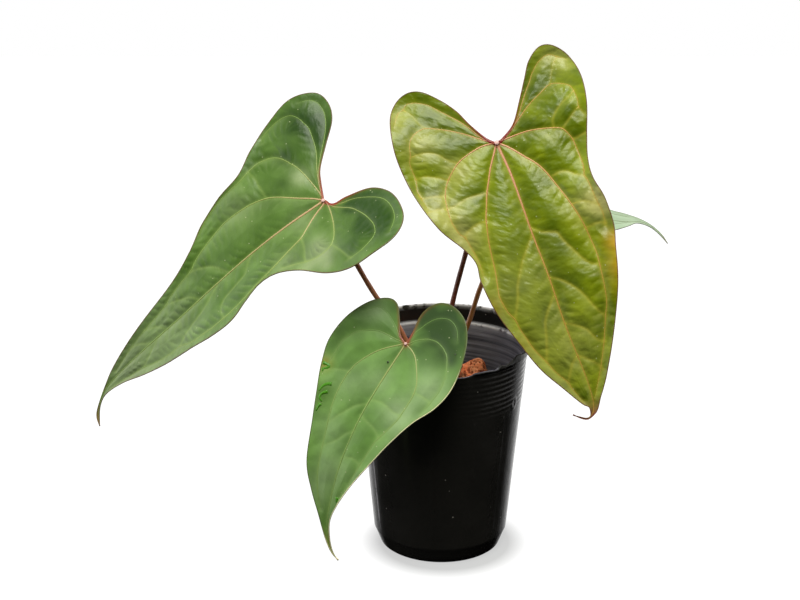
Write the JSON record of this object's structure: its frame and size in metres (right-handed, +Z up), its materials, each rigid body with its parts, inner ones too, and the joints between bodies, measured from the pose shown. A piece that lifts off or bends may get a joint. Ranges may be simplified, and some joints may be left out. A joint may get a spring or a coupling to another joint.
{
  "type": "potted anthurium",
  "caption": "Anthurium hybrid with long heart-shaped leaves on thin brown petioles, growing in a tapered black nursery pot with a torn collar.",
  "frame": {"origin": "middle of the pot's base, on the surface that it stands on", "axes": "+Z up, the picture's viewer on the -Y side, +X to the viewer's right"},
  "size_m": [0.4261, 0.1916, 0.3563],
  "materials": {
    "pot": "thin black blow-moulded plastic, semi-gloss, dusty inside",
    "growing_medium": "coarse damp bark and charcoal chunks",
    "lava_rock": "porous orange-red lava rock, matt",
    "crown": "short ringed stem with papery sheaths",
    "petiole_left": "smooth reddish-brown stalk",
    "petiole_right": "smooth dark maroon stalk",
    "petiole_front": "smooth reddish-brown stalk",
    "petiole_back": "smooth olive-brown stalk",
    "blade_left": "leathery green leaf with a grey sheen and pale veins",
    "blade_right": "new yellow-olive leaf, quilted and glossy, with orange veins",
    "blade_front": "satin green leaf with pale veins",
    "blade_back": "pale grey-green leaf"
  },
  "bodies": {
    "root": {"pot": "pot", "growing_medium": "growing_medium", "lava_rock": "lava_rock", "crown": "crown", "petiole_left": "petiole_left", "petiole_right": "petiole_right", "petiole_front": "petiole_front", "petiole_back": "petiole_back", "blade_left": "blade_left", "blade_right": "blade_right", "blade_front": "blade_front", "blade_back": "blade_back"}
  },
  "joints": []
}
